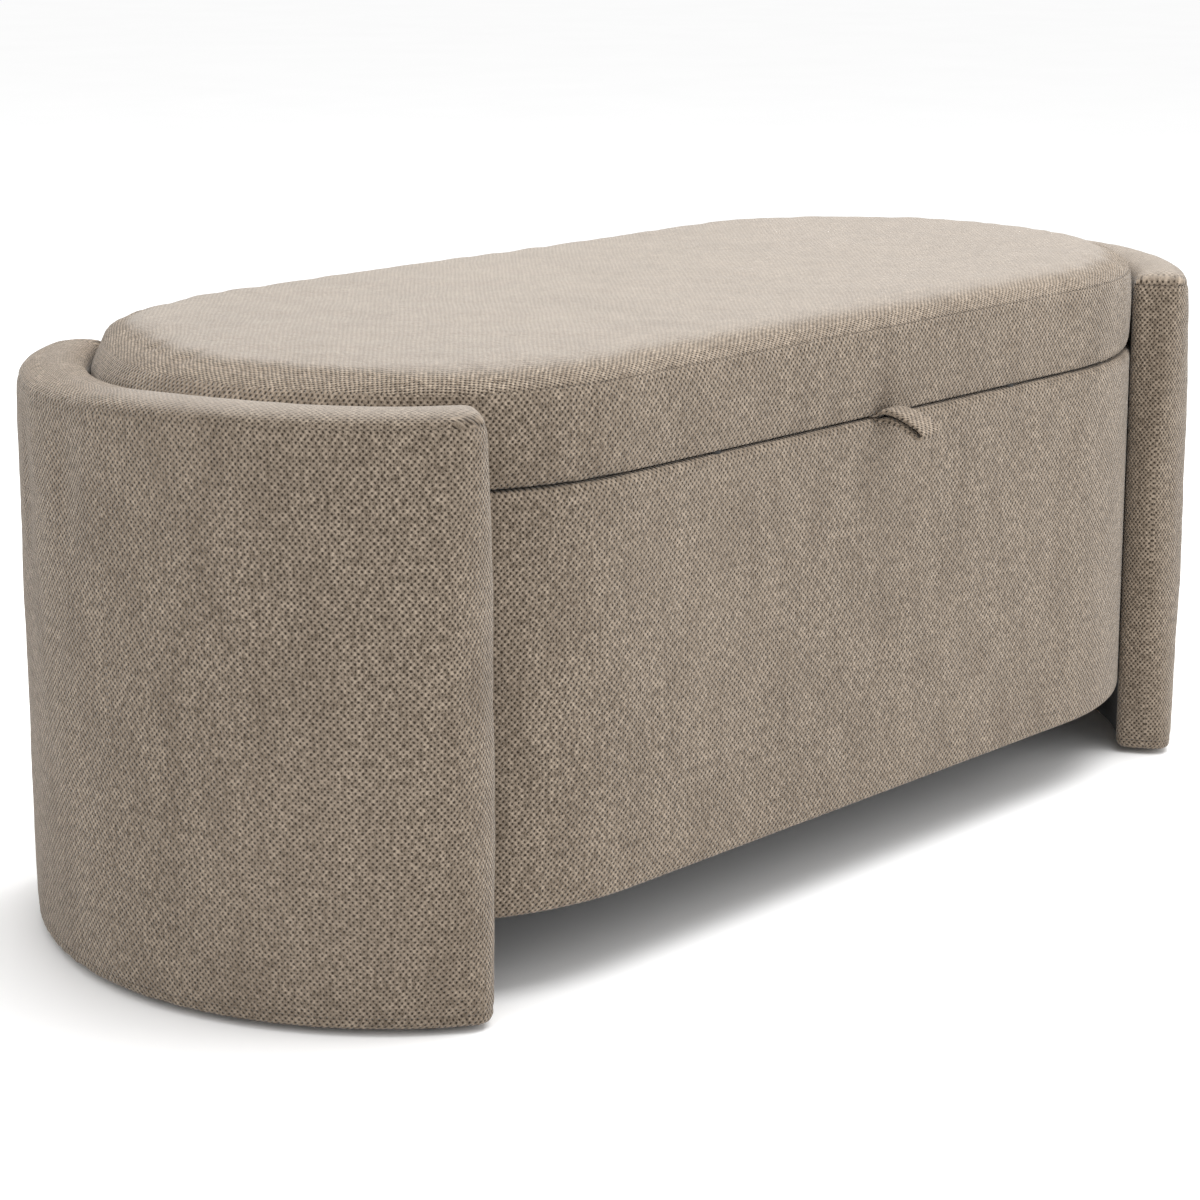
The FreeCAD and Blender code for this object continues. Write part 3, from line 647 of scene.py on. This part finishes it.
def inflate(obj, voxel, pressure, frames, cap, hold):
    """Remeshes the piece, blows it up a little as cloth and caps how far it may move."""
    remesh = obj.modifiers.new("even", "REMESH")
    remesh.mode = "VOXEL"
    remesh.voxel_size = voxel
    apply_modifiers(obj)
    start = co(obj)
    pinned = obj.vertex_groups.new(name="pin")
    weights = hold(start)
    for i, weight in enumerate(weights):
        if weight > 0:
            pinned.add([i], float(weight), "REPLACE")
    cloth = obj.modifiers.new("cloth", "CLOTH")
    cloth.settings.use_pressure = True
    cloth.settings.uniform_pressure_force = pressure
    cloth.settings.effector_weights.gravity = 0.0
    cloth.settings.quality = 5
    cloth.settings.mass = 0.4
    cloth.settings.tension_stiffness = CLOTH_STIFFNESS
    cloth.settings.compression_stiffness = CLOTH_STIFFNESS
    cloth.settings.shear_stiffness = 5.0
    cloth.settings.bending_stiffness = 1.5
    cloth.settings.vertex_group_mass = "pin"
    cloth.point_cache.frame_start = 1
    cloth.point_cache.frame_end = frames
    scene = bpy.context.scene
    for number in range(1, frames + 1):
        scene.frame_set(number)
    apply_modifiers(obj)
    scene.frame_set(1)
    moved = co(obj) - start
    length = np.linalg.norm(moved, axis=1, keepdims=True)
    moved *= np.minimum(1.0, cap / np.maximum(length, 1e-9))
    set_co(obj, start + moved)
    obj.vertex_groups.clear()


def subdivide(obj):
    modifier = obj.modifiers.new("fine", "SUBSURF")
    modifier.levels = 1
    modifier.render_levels = 1
    apply_modifiers(obj)


def along_oval(points):
    """Each point's distance from the oval's middle line, and the unit vector outwards from it."""
    dx = points[:, 0] - np.clip(points[:, 0], -C, C)
    rho = np.hypot(dx, points[:, 1])
    out = np.column_stack([dx, points[:, 1]]) / np.maximum(rho, 1e-6)[:, None]
    return rho, out


# ---------------------------------------------------------------- lid

LID_ROLL = 0.0014  # how far the lower edge rolls down into the gap
LID_FRAME_TOP = 0.4165  # the wooden frame inside, which the cloth may not be drawn into
DRAWN_FROM, DRAWN_OVER = 0.385, 0.09  # where along x the left end starts to be drawn in, and how fast
DRAWN_LOW, DRAWN_MORE = 0.0045, 0.0120  # how far beside the frame, and how much more at the top


def ease(t):
    """A smooth step of t, from 0 to 1."""
    return t**2 * (3 - 2 * t)


def make_lid():
    low = LID_LOW - LID_ROLL
    profile = [(0.030, LID_LOW + 0.0004), (0.018, LID_LOW), (0.011, low), (0.006, low)]
    profile += quarter(0.006, low, 0.0012, LID_LOW + 0.009, 4, False)
    profile += [(0.0004, LID_LOW + 0.03), (0.0006, LID_SEAM - 0.014)]
    profile += [(0.0022, LID_SEAM)]
    profile += quarter(0.0022, LID_SEAM, 0.016, LID_TOP - 0.0030, 8, True)
    profile += [(0.035, LID_TOP - 0.0020), (0.07, LID_TOP - 0.0012), (R - 0.002, LID_TOP - 0.0006)]
    rings = [ring3(oval_ring(max(0.0, i)), z) for i, z in smooth_profile(profile, 0.006)]
    lid = loft("lid_cushion", rings, cap_low=True, cap_high=True)

    def hold(points):
        held = np.where(points[:, 2] < LID_LOW + 0.002, 1.0, 0.0)
        seam = np.exp(-(((points[:, 2] - LID_SEAM) / 0.004) ** 2))
        rho, out = along_oval(points)
        near = rho > R - 0.012
        return np.maximum(held, 0.85 * seam * near)

    inflate(lid, 0.0055, 3.0, 14, 0.003, hold)
    subdivide(lid)
    points = co(lid)
    normals = vertex_normals(lid)
    rho, out = along_oval(points)
    groove = np.exp(-(((points[:, 2] - LID_SEAM) / 0.0024) ** 2)) * (rho > R - 0.02)
    puff = 0.0009 * wave(points, 0.16, 3) + 0.0004 * wave(points, 0.045, 4)
    upper = np.clip((points[:, 2] - LID_LOW) / 0.02, 0, 1)
    below_seam = points[:, 2] < LID_SEAM - 0.002
    pucker = 0.00035 * np.sin(math.tau * (LID_SEAM - points[:, 2]) / 0.0075) * below_seam
    strength = 0.5 + 0.5 * wave(points, 0.3, 8)
    pucker *= np.exp((points[:, 2] - LID_SEAM) / 0.012) * (rho > R - 0.02) * strength
    sewn = 0.0006 * groove * (points[:, 0] > -0.36)
    points = points + normals * (puff * upper + pucker - sewn)[:, None]
    # The left end is drawn in, more at its top edge, and both ends keep clear of the panels.
    drawn = ease(np.clip((-points[:, 0] - DRAWN_FROM) / DRAWN_OVER, 0, 1)) * np.clip(rho / 0.12, 0, 1)
    rise = np.clip((points[:, 2] - LID_FRAME_TOP) / 0.028, 0, 1)
    pull = drawn * (DRAWN_LOW + DRAWN_MORE * ease(rise))
    points[:, :2] -= out * pull[:, None]
    points[:, 2] -= 0.003 * drawn * rise
    rho, out = along_oval(points)
    limit = np.where(np.abs(points[:, 0]) > 0.37, R - 0.0003, R + 0.003)
    points[:, :2] -= out * np.clip(rho - limit, 0, None)[:, None]
    points[:, 2] = np.clip(points[:, 2], low, None)
    set_co(lid, points)
    upholster(lid, "lid", "lid", 0.95, "lid_cover", "lid_foam")


# ---------------------------------------------------------------- box

def make_box():
    skin = 0.0035
    profile = [(0.040, BOX_LOW + 0.0012), (0.006, BOX_LOW)]
    profile += quarter(0.006, BOX_LOW, 0.0, BOX_LOW + 0.006, 4, False)
    profile += [(0.0, BOX_LOW + 0.02), (0.0, BOX_TOP - 0.006)]
    profile += quarter(0.0, BOX_TOP - 0.006, 0.006, BOX_TOP + 0.0008, 4, True)
    profile += [(0.0325, BOX_TOP)]
    steps = smooth_profile(profile, 0.006)
    steps += [(0.0325, BOX_TOP - skin), (0.008, BOX_TOP - skin)]
    steps += [(skin, BOX_TOP - 0.009), (skin, BOX_LOW + 0.009)]
    steps += [(0.008, BOX_LOW + skin), (0.040, BOX_LOW + skin)]
    rings = [ring3(oval_ring(i), z) for i, z in steps]
    box = loft("box_upholstery", rings, closed_profile=True)
    face_outwards(box)
    subdivide(box)
    points = co(box)
    rho, out = along_oval(points)
    outer = (rho > R - 0.0018) & (points[:, 2] > BOX_LOW + 0.002) & (points[:, 2] < BOX_TOP - 0.001)
    fade = np.clip((points[:, 2] - BOX_LOW) / 0.02, 0, 1) * np.clip((BOX_TOP - points[:, 2]) / 0.012, 0, 1)
    near_panel = np.clip((np.abs(points[:, 0]) - 0.36) / 0.03, 0, 1)
    puff = 0.0009 + 0.0008 * wave(points * (1.0, 1.0, 0.6), 0.22, 11) + 0.0004 * wave(points, 0.05, 12)
    move = np.where(outer, puff * fade * (1 - near_panel), 0.0)
    points[:, :2] += out * move[:, None]
    set_co(box, points)
    upholster(box, "box", "box", 1.0, "box_cover", "box_foam")


# ---------------------------------------------------------------- end panels

# Soft dents: angle from the long axis, height, half sizes along and up, and depth.
DENTS = {
    "left": [(0.16, 0.365, (0.020, 0.045), 0.0030), (0.42, 0.345, (0.014, 0.050), 0.0024)],
    "right": [(0.30, 0.350, (0.022, 0.045), 0.0022)],
}
LIP = 0.0027  # how much fuller the inner face is where no backing holds it
LIP_PAST, LIP_OVER = math.radians(55.3), math.radians(1.2)  # just past the backing's upright edges
LIP_ABOVE = 0.342  # just above the backing's top edge


def make_panel(side):
    mirror = side == "left"
    width = PANEL_OUT - PANEL_IN
    profile = [(0.012, PANEL_LOW), (0.005, PANEL_LOW)]
    profile += quarter(0.005, PANEL_LOW, 0.0, PANEL_LOW + 0.005, 3, False)
    profile += [(0.0, PANEL_SEAM - 0.012), (0.0008, PANEL_SEAM)]
    profile += quarter(0.0008, PANEL_SEAM, 0.018, PANEL_TOP - 0.0004, 7, True)
    profile += [(0.4995 * width, PANEL_TOP)]
    rings = [ring3(panel_ring(i, mirror), z) for i, z in smooth_profile(profile, 0.0055)]
    panel = loft(f"{side}_panel_cushion", rings, cap_low=True, cap_high=True)

    def hold(points):
        rho, out = along_oval(points)
        held = np.where(points[:, 2] < PANEL_LOW + 0.004, 1.0, 0.0)
        seam = 0.85 * np.exp(-(((points[:, 2] - PANEL_SEAM) / 0.004) ** 2))
        inside = np.where(rho < PANEL_IN + 0.004, 0.97, 0.0)
        return np.maximum.reduce([held, seam, inside])

    inflate(panel, 0.005, 2.2, 12, 0.003, hold)
    subdivide(panel)
    points = co(panel)
    normals = vertex_normals(panel)
    rho, out = along_oval(points)
    groove = np.exp(-(((points[:, 2] - PANEL_SEAM) / 0.0022) ** 2)) * (rho > PANEL_IN + 0.006)
    hem = np.exp(-(((points[:, 2] - 0.014) / 0.002) ** 2)) * (rho > PANEL_IN + 0.006)
    free = np.clip((rho - PANEL_IN - 0.004) / 0.01, 0, 1)
    free = free * np.clip((points[:, 2] - PANEL_LOW) / 0.012, 0, 1)
    puff = 0.0011 * wave(points * (1.0, 1.0, 0.7), 0.20, 21 + mirror) + 0.0004 * wave(points, 0.05, 23)
    points = points + normals * (puff * free - 0.0009 * groove - 0.0007 * hem)[:, None]
    # The top slumps towards the rear, more at its outer edge, with two soft dents under it.
    turn = np.arctan2(points[:, 1], np.abs(points[:, 0]) - C)
    rearward = ease(np.clip((turn + 0.35) / 0.75, 0, 1))
    upper = np.clip((points[:, 2] - 0.36) / 0.075, 0, 1) ** 2
    across = np.clip((rho - PANEL_IN) / (PANEL_OUT - PANEL_IN), 0, 1)
    points[:, 2] -= rearward * upper * (0.004 + 0.006 * across)
    for middle_turn, middle_z, spread, depth in DENTS[side]:
        away = ((turn - middle_turn) * PANEL_OUT / spread[0]) ** 2
        away = away + ((points[:, 2] - middle_z) / spread[1]) ** 2
        points[:, :2] -= out * (depth * np.exp(-away) * across)[:, None]
    # The inner face keeps clear of the box and lid all the way up.
    rho, out = along_oval(points)
    keep = PANEL_IN + 0.0002
    push = np.where((rho < keep) & (np.abs(points[:, 0]) > 0.3), keep - rho, 0.0)
    points[:, :2] += out * push[:, None]
    # Past the backing the cover is fuller, and nearly touches the box and lid.
    inner = np.clip(1 - (rho - PANEL_IN) / 0.012, 0, 1)
    past = np.clip((np.abs(turn) - LIP_PAST) / LIP_OVER, 0, 1)
    above_backing = np.clip((points[:, 2] - LIP_ABOVE) / 0.006, 0, 1)
    lip = LIP * inner * np.maximum(past, above_backing)
    if side == "left":
        # The top leans in over the lid's drawn-in end.
        lean = rearward * np.clip((points[:, 2] - 0.385) / 0.04, 0, 1)
        lean = lean * np.clip(1 - (rho - PANEL_IN) / 0.03, 0, 1)
        lip += 0.0036 * lean
    points[:, :2] -= out * lip[:, None]
    points[:, 2] = np.clip(points[:, 2], PANEL_LOW, None)
    set_co(panel, points)
    upholster(panel, "panel", "box", 1.0, f"{side}_panel_cover", f"{side}_panel_foam")


# ---------------------------------------------------------------- pull tab

TAB_X = 0.0095
TAB_WIDTH = 0.025
TAB_REACH = 0.043
TAB_SEAM = 0.5 * (BOX_TOP + LID_LOW)
# Distance out from the box's face, height above the gap's middle, and half the strip's thickness.
TAB_UPPER = [
    (-0.014, 0.0007, 0.0006),
    (-0.002, 0.0008, 0.0006),
    (0.0015, 0.0030, 0.0016),
    (0.006, 0.0054, 0.0024),
    (0.014, 0.0052, 0.0026),
    (0.024, 0.0026, 0.0026),
    (0.034, -0.0016, 0.0024),
    (0.0395, -0.0044, 0.0020),
]
TAB_TIP = [(TAB_REACH, -0.0085, 0.0019)]
TAB_LOWER = [
    (0.0390, -0.0112, 0.0022),
    (0.032, -0.0074, 0.0026),
    (0.023, -0.0034, 0.0028),
    (0.013, -0.0012, 0.0028),
    (0.006, -0.0012, 0.0024),
    (0.0015, -0.0022, 0.0014),
    (-0.002, -0.0008, 0.0006),
    (-0.014, -0.0007, 0.0006),
]


def smooth_curve(line, steps):
    """A Catmull-Rom curve through the points."""
    padded = np.vstack([2 * line[0] - line[1], line, 2 * line[-1] - line[-2]])
    path = []
    for k in range(1, len(padded) - 2):
        p0, p1, p2, p3 = padded[k - 1 : k + 3]
        square = 2 * p0 - 5 * p1 + 4 * p2 - p3
        cube = 3 * p1 - p0 - 3 * p2 + p3
        for t in np.linspace(0, 1, steps, endpoint=False):
            path.append(0.5 * (2 * p1 + (p2 - p0) * t + square * t**2 + cube * t**3))
    path.append(line[-1])
    return np.array(path)


def rounded(value, power):
    """The value with its size raised to a power, which squares off a circle's section."""
    return math.copysign(abs(value) ** power, value)


def make_tab():
    """A folded strip bent into a loop: its two ends run under the lid, and it droops outwards."""
    path = smooth_curve(np.array(TAB_UPPER + TAB_TIP + TAB_LOWER), 6)
    tangent = np.gradient(path[:, :2], axis=0)
    tangent /= np.linalg.norm(tangent, axis=1, keepdims=True)
    section = 20
    verts, faces = [], []
    for k, (reach, height, half) in enumerate(path):
        normal = (-tangent[k, 1], tangent[k, 0])
        spread = max(0.0, reach) / TAB_REACH
        for j in range(section):
            a = math.tau * j / section
            across = rounded(math.cos(a), 0.35) * TAB_WIDTH / 2 * (1 - 0.04 * spread)
            lift = rounded(math.sin(a), 0.8) * half
            ripple = 0.0005 * spread * math.sin(across * 260.0 + k * 0.11)
            y = -R - reach - normal[0] * lift
            verts.append((TAB_X + across, y, TAB_SEAM + height + normal[1] * lift + ripple))
    for k in range(len(path) - 1):
        for j in range(section):
            a, b = k * section + j, k * section + (j + 1) % section
            faces.append((a, b, b + section, a + section))
    faces.append(tuple(range(section - 1, -1, -1)))
    faces.append(tuple((len(path) - 1) * section + j for j in range(section)))
    tab = new_object("pull_tab_loop", verts, faces)
    face_outwards(tab)
    subdivide(tab)
    give_material(tab, CHENILLE["tab"])
    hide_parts("pull_tab", "pull_tab_root")
    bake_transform(tab)


# ---------------------------------------------------------------- linings

CLOTH = 0.0012  # thickness of the linings


def stretched(obj, node_name, body, material):
    """Finishes a lining stretched over boards."""
    give_material(obj, material)
    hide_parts(node_name)
    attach(obj, body)


def flat_lining(name, node_name, body, material, radius, low, sag):
    """An oval cloth, its middle sagging a little."""
    insets = [R - radius + d for d in (0.0, 0.004, 0.012, 0.03, 0.06, 0.10, 0.15)] + [R - 0.003]
    rings, back_rings = [], []
    for inset in insets:
        plan = oval_ring(inset)
        depth = math.sin(math.pi / 2 * min(1.0, (inset - insets[0]) / 0.12))
        z = low - sag * depth + 0.0003 * depth * wave(ring3(plan, 0.0), 0.14, 31)
        rings.append(np.column_stack([plan, z]))
        back_rings.append(np.column_stack([plan, z + CLOTH]))
    piece = loft(name, rings[::-1] + back_rings, cap_low=True, cap_high=True)
    stretched(piece, node_name, body, material)


def wall_lining():
    """The cloth round the inside of the box, with faint upright folds."""
    radius, low, high = 0.2035, 0.0790, 0.3640
    heights = np.linspace(low, high, 30)
    outside = [ring3(oval_ring(R - radius), z) for z in heights]
    inside = []
    for z in heights[::-1]:
        plan = oval_ring(R - radius + CLOTH)
        fade = math.sin(math.pi * (z - low) / (high - low))
        ripple = 0.0004 * (1 + wave(ring3(plan, 0.15 * z), 0.09, 41)) * fade
        out = along_oval(ring3(plan, z))[1]
        inside.append(ring3(plan - out * ripple[:, None], z))
    piece = loft("box_wall_lining", outside + inside, closed_profile=True)
    stretched(piece, "interior_lining", "box", LINING)


def panel_lining(side):
    """The black cloth tacked to the inner face of an end panel."""
    mirror = side == "left"
    reach, low, high = math.radians(55.0), 0.008, 0.340
    columns, rows = 90, 30
    verts, faces = [], []
    for layer, radius in enumerate((PANEL_IN, PANEL_IN - CLOTH)):
        for i in range(rows + 1):
            z = low + (high - low) * i / rows
            for j in range(columns + 1):
                a = -reach + 2 * reach * j / columns
                r = radius - layer * 0.0002 * (1 + math.sin(31 * a + 9 * z) * math.sin(24 * z + 3 * a))
                verts.append((r * math.cos(a), r * math.sin(a), z))
    count = (rows + 1) * (columns + 1)
    for i in range(rows):
        for j in range(columns):
            a = i * (columns + 1) + j
            faces.append((a, a + 1, a + columns + 2, a + columns + 1))
            b = count + a
            faces.append((b, b + columns + 1, b + columns + 2, b + 1))
    edge = list(range(columns + 1))
    edge += [(i + 1) * (columns + 1) - 1 for i in range(1, rows + 1)]
    edge += [rows * (columns + 1) + j for j in range(columns - 1, -1, -1)]
    edge += [i * (columns + 1) for i in range(rows - 1, 0, -1)]
    for a, b in zip(edge, edge[1:] + edge[:1]):
        faces.append((a, count + a, count + b, b))
    points = np.array(verts)
    if mirror:
        points[:, :2] *= -1
    points[:, 0] += -C if mirror else C
    piece = new_object(f"{side}_panel_backing", points, faces)
    face_outwards(piece)
    stretched(piece, f"{side}_panel_lining", "box", FELT)


SIDES = ("left", "right")
make_lid()
make_box()
for side in SIDES:
    make_panel(side)
make_tab()
wall_lining()
flat_lining(
    "box_floor_lining", "interior_lining", "box", LINING,
    radius=0.2020, low=0.0776, sag=0.0,
)
flat_lining(
    "lid_underside", "lid_lining", "lid", LINING,
    radius=0.2175, low=0.3680, sag=0.0,
)
flat_lining(
    "box_dust_cover", "dust_cover", "box", FELT,
    radius=0.2150, low=0.0600, sag=0.0012,
)
for side in SIDES:
    panel_lining(side)


# ---------------------------------------------------------------- floor, light, camera

FLOOR_HALF = 60.0


def make_floor():
    corners = [(FLOOR_HALF * i, FLOOR_HALF * j, 0.0) for i, j in ((-1, -1), (1, -1), (1, 1), (-1, 1))]
    floor = new_object("floor", corners, [(0, 1, 2, 3)])
    n = Nodes("pale_floor")
    shade = n.mix(n.noise(3.0, 2.0, 0.5), (0.95, 0.95, 0.95), (0.98, 0.98, 0.98))
    floor.data.materials.append(n.finish(shade, 0.9, Specular_IOR_Level=0.0))


def area_light(name, place, target, size, power):
    data = bpy.data.lights.new(name, "AREA")
    data.shape = "RECTANGLE"
    data.size, data.size_y = size
    data.energy = power
    lamp = bpy.data.objects.new(name, data)
    bpy.context.scene.collection.objects.link(lamp)
    lamp.location = place
    lamp.rotation_euler = (Vector(target) - Vector(place)).to_track_quat("-Z", "Y").to_euler()


make_floor()
world = bpy.data.worlds.new("studio")
world.use_nodes = True
background = world.node_tree.nodes["Background"]
background.inputs["Color"].default_value = (1.0, 1.0, 1.0, 1.0)
background.inputs["Strength"].default_value = 1.0
bpy.context.scene.world = world
area_light("top", (0.5, -0.2, 2.6), (0, 0, 0.3), (2.6, 2.2), 92.0)
area_light("key", (2.6, -2.8, 1.7), (0, 0, 0.25), (2.0, 2.0), 20.0)

camera_data = bpy.data.cameras.new("camera")
camera = bpy.data.objects.new("camera", camera_data)
bpy.context.scene.collection.objects.link(camera)
bpy.context.scene.camera = camera
azimuth, elevation = math.radians(-46.55), math.radians(11.93)
camera_place = Matrix.Translation((-1.7275, -1.5786, 0.8024))
level = math.cos(elevation)
back = Vector((math.sin(azimuth) * level, -math.cos(azimuth) * level, math.sin(elevation)))
right = Vector((math.cos(azimuth), math.sin(azimuth), 0.0))
up = back.cross(right)
camera.matrix_world = camera_place @ Matrix((right, up, back)).transposed().to_4x4()
camera_data.sensor_width = 36.0
camera_data.lens = 87.157
camera_data.shift_y = -0.125
camera_data.clip_end = 300.0
camera_data.dof.use_dof = False
bpy.context.scene.view_settings.view_transform = "Standard"
